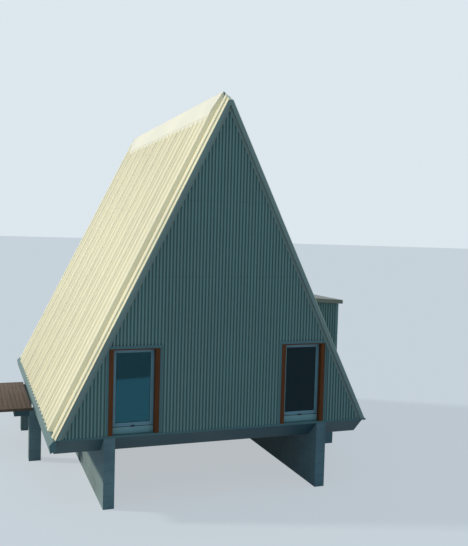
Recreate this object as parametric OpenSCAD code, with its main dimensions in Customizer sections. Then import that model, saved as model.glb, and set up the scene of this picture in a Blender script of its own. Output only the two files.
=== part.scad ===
// A-frame cabin: a steep metal roof down to a raised floor platform, two ribbed gable walls with
// tall windows, a flat-roofed entrance porch on the right slope and a small side deck on the left.
// Millimetres. X runs along the front gable, Y from the front gable to the rear one, Z up from
// the lowest ground. Heights named *_z are measured from the foot of the gable cladding.

/* [Main sizes] */
// Length over the fronts of the two gable verges
house_len = 11000; // [9700:10:12100]
// Width between the verges' outer lines at the foot of the gable cladding
span = 7858; // [7400:2:8400]
// Height of the verges' apex above the foot of the gable cladding
gable_h = 7960; // [7600:1:8600]
// Height of the foot of the gable cladding above the lowest ground
plinth_h = 1700; // [1200:10:2200]

/* [Roof] */
// Thickness of the roof panels below the verge line
panel_t = 152; // [110:2:210]
// Thickness of the folded metal pieces
trim_t = 10; // [6:1:14]
// Height of the roof sheets' pans above the verge line
pan_rise = 28; // [20:1:50]
// Height of the roof sheets' ribs
rib_h = 40; // [25:1:60]
// Width of a rib at its foot
rib_foot = 132; // [100:2:160]
// Width of a rib at its crest
rib_crest = 34; // [20:2:60]
// Distance between two ribs
rib_pitch = 402; // [360:1:480]
// Width of a ridge cap wing down the slope
cap_wing = 620; // [500:10:800]
// Length of the slanted cut at the ridge cap's corners, measured down the slope
cap_slant = 450; // [200:10:490]
// Distance from the verge's front to the tip of the ridge cap
cap_setback = 550; // [350:10:750]
// Thickness of the ridge cap
cap_t = 6; // [4:1:10]

/* [Verges] */
// Distance from the verge's front to the face of the cladding
verge_out = 80; // [60:5:120]
// Depth of the verge's front, square to the slope
verge_face = 105; // [80:5:130]
// Depth of the lower edge of the strip behind it, square to the slope
verge_depth = 170; // [150:5:180]
// Width of the flat hem behind the verge's front
hem_w = 180; // [140:5:220]
// Height of the low rib beside the hem
low_rib_h = 38; // [20:1:45]
// Width of the low rib at its foot
low_rib_w = 240; // [200:5:300]
// Depth of the channel behind the low rib, below the hem
channel_dip = 33; // [20:1:45]
// Distance from the verge's front to the foot of the sloping band
band_start = 790; // [740:5:820]
// Height of the small step at the foot of the sloping band
band_step = 17; // [10:1:25]
// Distance from the verge's front to the top of the sloping band
band_end = 850; // [840:2:900]
// Width of the flat crest behind the sloping band
crest_w = 220; // [180:5:250]

/* [Eaves] */
// Reach of the gutter beyond the roof sheets
gutter_reach = 95; // [70:5:130]
// Depth from the sheets' foot to the gutter's outer lip
gutter_lip = 100; // [60:5:140]
// Depth from the sheets' foot to the gutter's lower tip
gutter_drop = 276; // [200:2:320]
// Set-in of the gutter's lower tip from its lip
gutter_tuck = 26; // [10:1:50]
// Depth of the drip trim under the porch side's eave
drip_h = 40; // [25:1:60]

/* [Walls] */
// Thickness of the gable walls
wall_t = 160; // [120:5:200]
// Depth of the ribbed cladding
clad_t = 30; // [24:1:40]
// Cover of the verge's strip over the cladding's edge
verge_lap = 15; // [8:1:30]

/* [Windows] */
// Distance from the window's upper outer corner to the roof panel's underside, measured level
window_margin = 20; // [20:1:200]
// Width over the timber lining
window_w = 1190; // [900:5:1250]
// Height of the window head
window_h = 2000; // [1700:5:2150]
// Width of the lining's posts
post_w = 104; // [50:1:120]
// Thickness of the lining's head board
head_board = 30; // [20:1:40]
// How far the lining stands proud of the cladding
lining_proud = 8; // [4:1:20]
// Set-back of the window frame behind the lining's front
reveal = 140; // [100:5:150]
// Height of the sill panel under the frame
sill_h = 170; // [140:5:240]
// Width of the frame's members in the front view
frame_w = 80; // [50:1:90]
// Thickness of the glazing
glass_t = 24; // [16:1:32]
// Depth of the glazing's edge inside the frame
glass_bite = 12; // [8:1:20]
// Height of the head flashing
flashing_h = 70; // [50:1:90]
// How far the head flashing runs past the lining
flashing_side = 60; // [20:1:80]
// Clearance between the head flashing's end and the verge's strip
flashing_gap = 2; // [1:1:10]
// How far the head flashing stands out from the cladding
flashing_out = 24; // [15:1:40]

/* [Floor and base] */
// Height of the floor above the foot of the cladding
floor_rise = 150; // [100:5:180]
// Depth of the platform below the foot of the cladding
platform_d = 440; // [360:5:520]
// Width of the platform
platform_w = 7800; // [7640:10:7860]
// Height of the drip strip at the foot of the cladding
strip_h = 46; // [30:1:60]
// How far the platform's underside is set in from the drip strip
skirt_run = 410; // [300:5:500]
// Thickness of the skirt, measured level
skirt_t = 20; // [14:1:30]
// Distance from the centre line to a foundation wall's middle
wall_line = 2700; // [2400:10:3000]
// Thickness of the foundation walls
found_t = 260; // [200:5:400]

/* [Porch] */
// Distance from the front verge to the porch's front cladding
porch_start = 3400; // [3050:10:3850]
// Distance from the centre line to the porch's outer cladding
porch_x = 4910; // [4700:5:5000]
// Height of the porch roof's outer edge
porch_eave_z = 2765; // [2600:5:2900]
// Fall of the porch roof, in degrees
porch_fall = 3.6; // [2:0.1:8]
// Thickness of the porch roof slab
porch_slab = 90; // [70:5:130]
// How far the porch roof reaches past the outer cladding
porch_eave = 70; // [40:5:200]
// How far the porch roof reaches past the front and rear cladding
porch_verge = 60; // [40:5:100]
// Thickness of the porch fascia
fascia_t = 30; // [20:1:40]
// How far the porch fascia hangs below the slab
fascia_drop = 12; // [6:1:20]
// Thickness of the porch roof sheet
porch_sheet = 14; // [8:1:20]
// Height of the way through from the house to the porch
passage_h = 2400; // [2200:10:2440]
// Size of a porch pier on plan
porch_pier = 320; // [250:5:400]

/* [Side deck] */
// Distance from the front verge to the deck's front edge
deck_start = 4050; // [3750:10:4350]
// Length of the deck along the house
deck_len = 3500; // [3000:10:4000]
// Distance from the centre line to the deck's outer edge
deck_x = 5070; // [4900:5:5400]
// Depth of the deck's top below the foot of the cladding
deck_low = 210; // [190:2:260]
// Thickness of the deck boards
board_t = 40; // [28:1:50]
// Height of the deck's edge boards
edge_h = 75; // [60:1:90]
// Thickness of the deck's edge boards
edge_t = 25; // [18:1:35]
// Gap between the gutter and the deck
deck_gap = 25; // [15:1:50]
// Height of the bearer under the boards
bearer_h = 40; // [30:1:60]
// Width of the bearer and the beams
beam_w = 75; // [60:1:100]
// Height of the cross beams
beam_h = 140; // [100:5:180]
// Distance between the bearer and the outer beam
beam_gap = 400; // [300:10:500]
// Width of a deck pier along X
deck_pier_w = 320; // [260:5:400]
// Width of a deck pier along Y
deck_pier_l = 300; // [220:5:400]

/* [Hidden] */

metal = [0.80, 0.82, 0.72];
metal_wall = [0.66, 0.72, 0.68];
timber = [0.48, 0.26, 0.14];
frame_paint = [0.80, 0.83, 0.86];
pane = [0.25, 0.32, 0.36];
concrete = [0.55, 0.56, 0.54];
boards = [0.72, 0.60, 0.45];
deck_wood = [0.36, 0.26, 0.20];

half_len = house_len / 2;
pitch = atan(gable_h / (span / 2));
rib_top = pan_rise + rib_h;
clad_y = verge_out;
wall_y = clad_y + clad_t;
inner_y = wall_y + wall_t;
skirt_front = clad_y - lining_proud;
panel_under = -(trim_t + panel_t);
slope_len = (gable_h + rib_top / cos(pitch)) / sin(pitch);
sheet_start = band_end + crest_w + rib_h;
verge_under = -(trim_t + channel_dip);
rib_count = 1 + floor((house_len - 2 * sheet_start - rib_foot) / rib_pitch);
side_x = platform_w / 2;
porch_half = half_len - porch_start;
porch_wall_x = porch_x - clad_t;
porch_in_x = porch_wall_x - wall_t;
porch_out_y = porch_half - clad_t;
porch_in_y = porch_out_y - wall_t;
porch_slab_x = porch_x + porch_eave;
porch_slab_y = porch_half + porch_verge;
porch_edge_x = porch_slab_x + fascia_t;
big = 3 * (span + gable_h);
window_x = half_w(panel_under, window_h) - window_margin - window_w / 2;
unit_back = clad_t + wall_t;
frame_y = reveal - lining_proud;
glass_y = (frame_y + unit_back - glass_t) / 2;
clear_w = window_w - 2 * post_w;
frame_h = window_h - head_board - sill_h;
// Where the gutter's lip lies, and where the deck starts beside it
lip_x = half_w(pan_rise, 0) + gutter_reach;
deck_in_x = lip_x + deck_gap;
deck_front = deck_start - half_len;
deck_rear = deck_front + deck_len;
bearer_z = -deck_low - board_t;
beam_top = bearer_z - bearer_h;

// Height of the apex of the plane that lies n above the verge line
function apex(n) = gable_h + n / cos(pitch);
// Half the width of that plane's section at height z
function half_w(n, z) = (apex(n) - z) / tan(pitch);
// The point of the right slope's section s down from the apex and n above the verge line
function slope_pt(s, n) = [s * cos(pitch) + n * sin(pitch), gable_h - s * sin(pitch) + n * cos(pitch)];
// Top of the porch roof slab at x, and its underside
function slab_top(x) = porch_eave_z - porch_sheet + (porch_edge_x - x) * tan(porch_fall);
function slab_under(x) = slab_top(x) - porch_slab;
// Distance from the centre line where the slab's top, moved by dz, meets the plane n above the verge line
function meet_x(n, dz) = (apex(n) - slab_top(0) - dz) / (tan(pitch) - tan(porch_fall));

// Lifts a piece from the foot of the cladding to its height above the ground
module lifted() { translate([0, 0, plinth_h]) children(); }
// A flat shape in X and Z, drawn out along Y
module along_y(y0, y1) { translate([0, y1, 0]) rotate([90, 0, 0]) linear_extrude(y1 - y0) children(); }
// A flat shape in Y and Z, drawn out along X
module along_x(x0, x1) { translate([x0, 0, 0]) rotate([90, 0, 90]) linear_extrude(x1 - x0) children(); }
// The right slope's frame: X down the slope from the apex, Z square to it
module on_slope() { translate([0, 0, gable_h]) rotate([0, pitch, 0]) children(); }
// Mirrored pairs
module left() { mirror([1, 0, 0]) children(); }
module rear() { mirror([0, 1, 0]) children(); }
// What lies on the right of the ridge and above the foot of the roof
module right_half() {
    intersection() {
        children();
        translate([0, -big / 2, 0]) cube([big, big, big]);
    }
}

// A layer of the right slope from n0 to n1 above the verge line, mitred at the ridge
module layer(n0, n1, y0, y1) {
    along_y(y0, y1) polygon([[0, apex(n0)], [half_w(n0, 0), 0], [half_w(n1, 0), 0], [0, apex(n1)]]);
}

// Everything inside the porch's outer faces, up to the underside of its slab moved by dz
module porch_volume(half_y, outer_x, dz, low) {
    along_y(-half_y, half_y) polygon([[half_w(-panel_t * 2, 0), low],
        [half_w(-panel_t * 2, slab_under(0)), slab_under(half_w(-panel_t * 2, slab_under(0))) + dz],
        [outer_x, slab_under(outer_x) + dz], [outer_x, low]]);
}

module floor_platform() {
    color(boards) lifted() {
        along_x(-side_x, side_x) polygon([[-half_len + wall_y, 0], [-half_len + wall_y, -strip_h],
            [-half_len + wall_y + skirt_run, -platform_d], [half_len - wall_y - skirt_run, -platform_d],
            [half_len - wall_y, -strip_h], [half_len - wall_y, 0]]);
        along_y(-half_len + inner_y, half_len - inner_y)
            polygon([[-half_w(panel_under, 0), 0], [half_w(panel_under, 0), 0],
                [half_w(panel_under, floor_rise), floor_rise],
                [-half_w(panel_under, floor_rise), floor_rise]]);
    }
}

module foundation_wall(x) {
    color(concrete) lifted() along_x(x - found_t / 2, x + found_t / 2)
        polygon([[-half_len + skirt_front, -plinth_h], [-half_len + skirt_front, -strip_h],
            [-half_len + wall_y, -strip_h], [-half_len + wall_y + skirt_run, -platform_d],
            [half_len - wall_y - skirt_run, -platform_d], [half_len - wall_y, -strip_h],
            [half_len - skirt_front, -strip_h], [half_len - skirt_front, -plinth_h]]);
}
module foundation_wall_left() { foundation_wall(-wall_line); }
module foundation_wall_right() { foundation_wall(wall_line); }

// The triangle of a gable below the plane n, with the window openings cut out
module gable_shape(n) {
    difference() {
        polygon([[-half_w(n, 0), 0], [half_w(n, 0), 0], [0, apex(n)]]);
        for (side = [-1, 1]) translate([side * window_x - window_w / 2, -1])
            square([window_w, window_h + 1]);
    }
}
module gable_wall() {
    color(boards) lifted() along_y(-half_len + wall_y, -half_len + inner_y) gable_shape(panel_under);
}
module front_wall() { gable_wall(); }
module rear_wall() { rear() gable_wall(); }
module gable_cladding() {
    color(metal_wall) lifted() along_y(-half_len + clad_y, -half_len + wall_y)
        gable_shape(verge_lap - verge_depth);
}
module front_cladding() { gable_cladding(); }
module rear_cladding() { rear() gable_cladding(); }

// One roof panel, packed up under the sheets and lower under the verges at its ends
module roof_panel() {
    layer(panel_under, verge_under, -half_len + wall_y, half_len - wall_y);
    layer(verge_under, pan_rise - trim_t, -half_len + band_end - trim_t, half_len - band_end + trim_t);
    // The panel's ends outside the gable walls, behind the verges
    layer(verge_lap - verge_depth, verge_under, -half_len + clad_y, -half_len + wall_y);
    layer(verge_lap - verge_depth, verge_under, half_len - wall_y, half_len - clad_y);
}
module roof_left() { color(boards) lifted() left() roof_panel(); }
module roof_right() {
    color(boards) lifted() difference() {
        roof_panel();
        translate([0, -porch_in_y, -1]) cube([side_x + porch_x, 2 * porch_in_y, passage_h + 1]);
    }
}

// A roof rib, rooted in the middle of its sheet's thickness
module rib(s1) {
    rotate([90, 0, 90]) linear_extrude(s1)
        polygon([[-rib_foot / 2, -trim_t / 2], [rib_foot / 2, -trim_t / 2], [rib_foot / 2, 0],
            [rib_crest / 2, rib_h], [-rib_crest / 2, rib_h], [-rib_foot / 2, 0]]);
}
module roof_sheets() {
    layer(pan_rise - trim_t, pan_rise, -half_len + sheet_start, half_len - sheet_start);
    right_half() on_slope() for (i = [0 : rib_count - 1])
        translate([-rib_h, (i - (rib_count - 1) / 2) * rib_pitch, pan_rise]) rib(slope_len + 2 * rib_h);
}
module roof_sheets_left() { color(metal) lifted() left() roof_sheets(); }
module roof_sheets_right() {
    color(metal) lifted() difference() {
        roof_sheets();
        porch_volume(porch_half, big / 2, porch_slab, -1);
    }
}

// Both wings in one piece, their corners cut back over the verges
module ridge_cap() {
    tip = half_len - cap_setback;
    ridge_s = -(rib_top + cap_t) * tan(pitch);
    end_s = ridge_s + cap_wing;
    cut_s = ridge_s + cap_slant;
    right = [slope_pt(end_s, rib_top), slope_pt(end_s, rib_top + cap_t)];
    color(metal) lifted() difference() {
        along_y(-tip, tip) polygon([[0, apex(rib_top + cap_t)], right[1], right[0], [0, apex(rib_top)],
            [-right[0][0], right[0][1]], [-right[1][0], right[1][1]]]);
        for (side = [0, 1]) mirror([side, 0, 0]) on_slope() for (end = [-1, 1])
            translate([0, 0, rib_top - cap_t]) linear_extrude(3 * cap_t)
                polygon([[ridge_s, end * tip], [cut_s, end * (half_len - band_end)],
                    [end_s + cap_wing, end * (half_len - band_end)], [end_s + cap_wing, end * half_len],
                    [ridge_s, end * half_len]]);
    }
}

// Section of a verge, in Y and height above the verge line: front, strip on the cladding, channel,
// band, crest, low rib and hem
module verge_section() {
    polygon([[0, -verge_face], [clad_y - trim_t, -verge_face], [clad_y - trim_t, -verge_depth],
        [clad_y, -verge_depth], [clad_y, verge_under], [band_end - trim_t, verge_under],
        [band_end - trim_t, pan_rise - trim_t], [sheet_start, pan_rise - trim_t],
        [sheet_start, pan_rise], [band_end + crest_w, rib_top], [band_end, rib_top],
        [band_start, band_step - channel_dip], [band_start, -channel_dip],
        [hem_w + low_rib_w + channel_dip, -channel_dip],
        [hem_w + low_rib_w - low_rib_h, low_rib_h], [hem_w + low_rib_h / 2, low_rib_h],
        [hem_w, 0], [0, 0]]);
}
module verge() {
    color(metal) lifted() right_half() on_slope() translate([-big / 8, -half_len, 0])
        rotate([90, 0, 90]) linear_extrude(slope_len + big / 4) verge_section();
}
module front_verge_right() { verge(); }
module front_verge_left() { left() verge(); }
module rear_verge_right() { rear() verge(); }
module rear_verge_left() { rear() left() verge(); }

module eaves_gutter_left() {
    color(metal) lifted() left() along_y(-half_len, half_len)
        polygon([[side_x, 0], [half_w(pan_rise, 0), 0], [lip_x, -gutter_lip],
            [lip_x - gutter_tuck, -gutter_drop], [side_x, -gutter_drop + strip_h]]);
}
module eaves_trim_right() {
    color(metal) lifted() for (side = [-1, 1])
        along_y(side < 0 ? -half_len : porch_half, side < 0 ? -porch_half : half_len)
            polygon([[side_x, 0], [half_w(pan_rise, 0), 0], [half_w(pan_rise, 0), -drip_h / 2],
                [side_x, -drip_h]]);
}

// The drip strip at the foot of the cladding and the sloped skirt below it
module skirt() {
    color(metal_wall) lifted() difference() {
        along_x(-side_x, side_x) polygon([[-half_len + skirt_front, 0], [-half_len + wall_y, 0],
            [-half_len + wall_y, -strip_h], [-half_len + wall_y + skirt_run, -platform_d],
            [-half_len + wall_y + skirt_run - skirt_t, -platform_d],
            [-half_len + wall_y - skirt_t, -strip_h], [-half_len + skirt_front, -strip_h]]);
        for (side = [-1, 1]) translate([side * wall_line - found_t / 2, -half_len, -platform_d - 1])
            cube([found_t, wall_y + skirt_run + 1, platform_d + 1 - strip_h]);
    }
}
module front_skirt() { skirt(); }
module rear_skirt() { rear() skirt(); }

// One window unit, centred on X, its lining's front at -lining_proud and its back at the wall's back
module unit_lining() {
    color(timber) difference() {
        translate([-window_w / 2, -lining_proud, 0]) cube([window_w, unit_back + lining_proud, window_h]);
        translate([-clear_w / 2, -lining_proud - 1, -1])
            cube([clear_w, unit_back + lining_proud + 2, window_h - head_board + 1]);
    }
}
// The space of the frame, from y for the given depth, drawn in by edge on all four sides
module pane_block(y, depth, edge) {
    translate([-clear_w / 2 + edge, y, sill_h + edge])
        cube([clear_w - 2 * edge, depth, frame_h - 2 * edge]);
}
module unit_frame() {
    color(frame_paint) difference() {
        pane_block(frame_y, unit_back - frame_y, 0);
        pane_block(frame_y - 1, unit_back - frame_y + 2, frame_w);
        pane_block(glass_y, glass_t, frame_w - glass_bite);
    }
}
module unit_glass() { color(pane) pane_block(glass_y, glass_t, frame_w - glass_bite); }
module unit_sill() {
    color(metal_wall) translate([-clear_w / 2, frame_y, 0]) cube([clear_w, unit_back - frame_y, sill_h]);
}
// The flashing's foot covers the lining's head and its flange lies on the cladding
module unit_flashing() {
    color(metal) translate([-window_w / 2 - flashing_side, 0, window_h])
        rotate([90, 0, 90]) linear_extrude(window_w + 2 * flashing_side)
            polygon([[-flashing_out, 0], [0, 0], [0, flashing_h], [-flashing_out / 3, flashing_h]]);
}
// Places a unit at each window of the front gable
module at_windows() {
    lifted() for (side = [-1, 1]) translate([side * window_x, -half_len + clad_y, 0]) children();
}
module front_window_linings() { at_windows() unit_lining(); }
module front_window_frames() { at_windows() unit_frame(); }
module front_window_glass() { at_windows() unit_glass(); }
module front_sill_panels() { at_windows() unit_sill(); }
// The outer ends of the flashings follow the verge's strip
module front_head_flashings() {
    n = -verge_depth - flashing_gap;
    intersection() {
        at_windows() unit_flashing();
        color(metal) lifted() along_y(-half_len, -half_len + wall_y)
            polygon([[-half_w(n, 0), 0], [half_w(n, 0), 0], [0, apex(n)]]);
    }
}
module rear_window_linings() { rear() front_window_linings(); }
module rear_window_frames() { rear() front_window_frames(); }
module rear_window_glass() { rear() front_window_glass(); }
module rear_sill_panels() { rear() front_sill_panels(); }
module rear_head_flashings() { rear() front_head_flashings(); }

module porch_floor() {
    color(boards) lifted() {
        translate([side_x, -porch_out_y, -platform_d])
            cube([porch_wall_x - side_x, 2 * porch_out_y, platform_d]);
        along_y(-porch_in_y, porch_in_y) polygon([[half_w(panel_under, 0), 0], [porch_in_x, 0],
            [porch_in_x, floor_rise], [half_w(panel_under, floor_rise), floor_rise]]);
    }
}
module porch_piers() {
    color(concrete) for (side = [-1, 1])
        translate([porch_wall_x - porch_pier, side < 0 ? -porch_out_y : porch_out_y - porch_pier, 0])
            cube([porch_pier, porch_pier, plinth_h - platform_d]);
}
// A porch wall square to Y, standing on the platform and against the roof panel
module porch_cheek(y0, y1, outer_x) {
    lifted() along_y(y0, y1) polygon([[half_w(pan_rise - trim_t, 0), 0],
        [meet_x(pan_rise - trim_t, -porch_slab), slab_under(meet_x(pan_rise - trim_t, -porch_slab))],
        [outer_x, slab_under(outer_x)], [outer_x, 0]]);
}
module porch_front_wall() { color(boards) porch_cheek(-porch_out_y, -porch_in_y, porch_wall_x); }
module porch_rear_wall() { color(boards) porch_cheek(porch_in_y, porch_out_y, porch_wall_x); }
module porch_outer_wall() {
    color(boards) lifted() difference() {
        along_y(-porch_in_y, porch_in_y) polygon([[porch_in_x, 0], [porch_wall_x, 0],
            [porch_wall_x, slab_under(porch_wall_x)], [porch_in_x, slab_under(porch_in_x)]]);
        translate([porch_in_x - 1, -window_w / 2, -1]) cube([wall_t + 2, window_w, window_h + 1]);
    }
}
// Ribbed sheets round the three outer walls, in one piece at the corners
module porch_cladding() {
    color(metal_wall) {
        porch_cheek(-porch_half, -porch_out_y, porch_x);
        porch_cheek(porch_out_y, porch_half, porch_x);
        lifted() difference() {
            along_y(-porch_out_y, porch_out_y) polygon([[porch_wall_x, 0], [porch_x, 0],
                [porch_x, slab_under(porch_x)], [porch_wall_x, slab_under(porch_wall_x)]]);
            translate([porch_wall_x - 1, -window_w / 2, -1]) cube([clad_t + 2, window_w, window_h + 1]);
        }
    }
}
// The slab's section, from the plane n above the verge line to its outer edge
module slab_shape(n) {
    polygon([[meet_x(n, -porch_slab), slab_under(meet_x(n, -porch_slab))],
        [meet_x(n, 0), slab_top(meet_x(n, 0))],
        [porch_slab_x, slab_top(porch_slab_x)], [porch_slab_x, slab_under(porch_slab_x)]]);
}
module porch_roof() {
    color(boards) lifted() {
        along_y(-porch_slab_y, porch_slab_y) slab_shape(rib_top);
        along_y(-porch_half, porch_half) slab_shape(pan_rise - trim_t);
    }
}
// Roof sheet and the fascia that hangs round the slab's three free edges
module porch_roof_trim() {
    outer_y = porch_slab_y + fascia_t;
    color(metal) lifted() difference() {
        along_y(-outer_y, outer_y) polygon([
            [meet_x(rib_top, -porch_slab - fascia_drop),
                slab_under(meet_x(rib_top, -porch_slab - fascia_drop)) - fascia_drop],
            [meet_x(rib_top, porch_sheet), slab_top(meet_x(rib_top, porch_sheet)) + porch_sheet],
            [porch_edge_x, slab_top(porch_edge_x) + porch_sheet],
            [porch_edge_x, slab_under(porch_edge_x) - fascia_drop]]);
        along_y(-porch_slab_y, porch_slab_y) polygon([[0, slab_under(0) - platform_d],
            [0, slab_top(0)], [porch_slab_x, slab_top(porch_slab_x)],
            [porch_slab_x, slab_under(porch_slab_x) - platform_d]]);
    }
}

// Places a unit in the porch's outer face, its front looking along X
module at_porch() { lifted() translate([porch_x, 0, 0]) rotate([0, 0, 90]) children(); }
module porch_window_lining() { at_porch() unit_lining(); }
module porch_window_frame() { at_porch() unit_frame(); }
module porch_window_glass() { at_porch() unit_glass(); }
module porch_sill_panel() { at_porch() unit_sill(); }
module porch_head_flashing() { at_porch() unit_flashing(); }

module deck_boards() {
    color(deck_wood) lifted() translate([-deck_x + edge_t, deck_front + edge_t, -deck_low - board_t])
        cube([deck_x - edge_t - deck_in_x, deck_len - 2 * edge_t, board_t]);
}
module deck_edge_boards() {
    color(deck_wood) lifted() difference() {
        translate([-deck_x, deck_front, -deck_low - edge_h])
            cube([deck_x - deck_in_x, deck_len, edge_h]);
        translate([-deck_x + edge_t, deck_front + edge_t, -deck_low - edge_h - 1])
            cube([deck_x, deck_len - 2 * edge_t, edge_h + 2]);
    }
}
// Bearer on the piers, outer beam, and the two cross beams between the piers and the outer beam
module deck_beams() {
    pier_x = deck_in_x + beam_w;
    outer_x = pier_x + beam_gap;
    back_y = deck_len - 2 * edge_t;
    color(metal_wall) lifted() {
        translate([-pier_x, deck_front + edge_t, beam_top]) cube([beam_w, back_y, bearer_h]);
        translate([-outer_x, deck_front + edge_t, beam_top - beam_h])
            cube([beam_w, back_y, beam_h + bearer_h]);
        for (y = [deck_front + edge_t, deck_rear - edge_t - beam_w])
            translate([-outer_x + beam_w, y, beam_top - beam_h])
                cube([outer_x - beam_w - pier_x, beam_w, beam_h]);
    }
}
module deck_piers() {
    pier_x = deck_in_x + beam_w;
    color(concrete) lifted() for (y = [deck_front + edge_t, deck_rear - edge_t - deck_pier_l])
        along_y(y, y + deck_pier_l) polygon([[-pier_x, -plinth_h], [deck_pier_w - pier_x, -plinth_h],
            [deck_pier_w - pier_x, -platform_d], [-side_x, -platform_d], [-side_x, -gutter_drop],
            [-lip_x, -gutter_drop], [-lip_x, beam_top], [-pier_x, beam_top]]);
}

floor_platform();
foundation_wall_left();
foundation_wall_right();
front_wall();
rear_wall();
roof_left();
roof_right();
front_cladding();
rear_cladding();
roof_sheets_left();
roof_sheets_right();
ridge_cap();
front_verge_left();
front_verge_right();
rear_verge_left();
rear_verge_right();
eaves_gutter_left();
eaves_trim_right();
front_skirt();
rear_skirt();
front_window_linings();
front_window_frames();
front_window_glass();
front_sill_panels();
front_head_flashings();
rear_window_linings();
rear_window_frames();
rear_window_glass();
rear_sill_panels();
rear_head_flashings();
porch_floor();
porch_piers();
porch_front_wall();
porch_outer_wall();
porch_rear_wall();
porch_cladding();
porch_roof();
porch_roof_trim();
porch_window_lining();
porch_window_frame();
porch_window_glass();
porch_sill_panel();
porch_head_flashing();
deck_boards();
deck_edge_boards();
deck_beams();
deck_piers();
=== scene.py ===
"""Looks of the a-frame cabin: ribbed steel, timber-lined windows, concrete and boards round the fixed frame.

Most pieces are modelled lying flat in a sheet's own axes (X across, Y up, Z out), then stood on the face that
carries them: a gable, a roof slope or a porch wall.
"""

import math
from contextlib import contextmanager

import bmesh
import bpy
from mathutils import Matrix, Vector


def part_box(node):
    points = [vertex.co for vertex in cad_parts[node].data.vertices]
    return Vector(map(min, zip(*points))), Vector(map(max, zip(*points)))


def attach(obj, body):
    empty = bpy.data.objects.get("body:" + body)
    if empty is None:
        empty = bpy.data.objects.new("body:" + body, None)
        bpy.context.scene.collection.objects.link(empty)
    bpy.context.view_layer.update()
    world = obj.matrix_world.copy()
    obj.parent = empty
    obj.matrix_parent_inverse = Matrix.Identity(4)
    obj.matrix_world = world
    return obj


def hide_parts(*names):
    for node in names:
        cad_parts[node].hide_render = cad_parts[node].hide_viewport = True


bl_info = {
    "name": "A-frame cabin",
    "version": (1, 0, 0),
    "blender": (4, 5, 0),
    "location": "View3D > Sidebar > Cabin",
    "description": "Ribbed steel, timber, glass, concrete and boards for an a-frame cabin",
    "category": "Object",
}

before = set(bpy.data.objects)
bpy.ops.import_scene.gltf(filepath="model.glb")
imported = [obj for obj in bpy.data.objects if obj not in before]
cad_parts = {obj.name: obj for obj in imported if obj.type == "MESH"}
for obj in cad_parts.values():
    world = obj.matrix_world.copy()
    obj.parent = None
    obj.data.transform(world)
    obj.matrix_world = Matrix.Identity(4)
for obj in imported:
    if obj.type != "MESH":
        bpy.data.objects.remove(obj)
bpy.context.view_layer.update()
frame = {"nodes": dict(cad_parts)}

# Places read from the frame, in metres
clad_low, clad_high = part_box("front_cladding")
porch_low, porch_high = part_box("porch_cladding")
porch_trim_low, porch_trim_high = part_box("porch_roof_trim")
cap_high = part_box("ridge_cap")[1]
lining_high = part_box("front_window_linings")[1]
FOOT_Z = clad_low.z
GABLE_FACE = -clad_low.y
PITCH = math.atan2(clad_high.z - clad_low.z, clad_high.x)
WINDOW_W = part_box("porch_window_lining")[1].y * 2
WINDOW_H = lining_high.z - FOOT_Z
WINDOW_X = lining_high.x - WINDOW_W / 2
HALF_LEN = -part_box("front_verge_left")[0].y
# Depth of the gable cladding's edge below the verge line, and heights above that line, square to the slope
CLADDING_EDGE = -0.155
PAN_RISE = 0.028
RIB_TOP = 0.068
APEX_Z = clad_high.z - CLADDING_EDGE / math.cos(PITCH)
SLOPE_LEN = (APEX_Z - FOOT_Z) / math.sin(PITCH)
PORCH_FALL = math.radians(3.6)

# The verge's sloping band's top, its crest's middle and end and the foot behind it, as distances in from the
# verge's front, and the height of its channel
BAND_TOP = 0.850
VERGE_CREST = 0.960
CREST_END = 1.070
VERGE_FOOT = 1.109
CHANNEL = -0.033
# Folds of the verge sheet and the face under it: distance in from the verge's front, height above its line
VERGE_SHEET = ((0.005, -0.043), (0.005, -0.012), (0.000, -0.012), (0.000, 0.000), (0.180, 0.000),
               (0.199, 0.038), (0.382, 0.038), (0.453, CHANNEL), (0.790, CHANNEL), (0.790, -0.016),
               (BAND_TOP, RIB_TOP), (CREST_END, RIB_TOP), (VERGE_FOOT, 0.029), (1.150, 0.029),
               (1.150, 0.026), (BAND_TOP, 0.026), (0.840, -0.043))
VERGE_FACE = ((0.080, -0.170), (0.070, -0.170), (0.070, -0.105), (0.002, -0.105), (0.002, -0.004),
              (0.0045, -0.004), (0.0045, -0.045), (0.080, -0.045))

# Each end, side and gable window by its sign or place
GABLES = ((-1, "front"), (1, "rear"))
SLOPES = ((-1, "left"), (1, "right"))
WINDOW_PLACES = (-WINDOW_X, WINDOW_X)

# Directions, and the distance under which two places are one
ACROSS = Vector((1, 0, 0))
ALONG = Vector((0, 1, 0))
UP = Vector((0, 0, 1))
TINY = 0.0005


# Sizes and colours that a user would change

def length(name, about, default, most):
    """A size in metres."""
    return bpy.props.FloatProperty(name=name, description=about, default=default,
                                   min=0, max=most, unit="LENGTH")


def linear(hex_value):
    """A linear colour from an sRGB hex value."""
    channels = [int(hex_value[i:i + 2], 16) / 255 for i in (1, 3, 5)]
    return [c / 12.92 if c <= 0.04045 else ((c + 0.055) / 1.055) ** 2.4 for c in channels]


def colour(name, about, hex_value):
    """A colour whose default is an sRGB hex value."""
    return bpy.props.FloatVectorProperty(name=name, description=about, default=linear(hex_value),
                                         size=3, min=0, max=1, subtype="COLOR")


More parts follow.
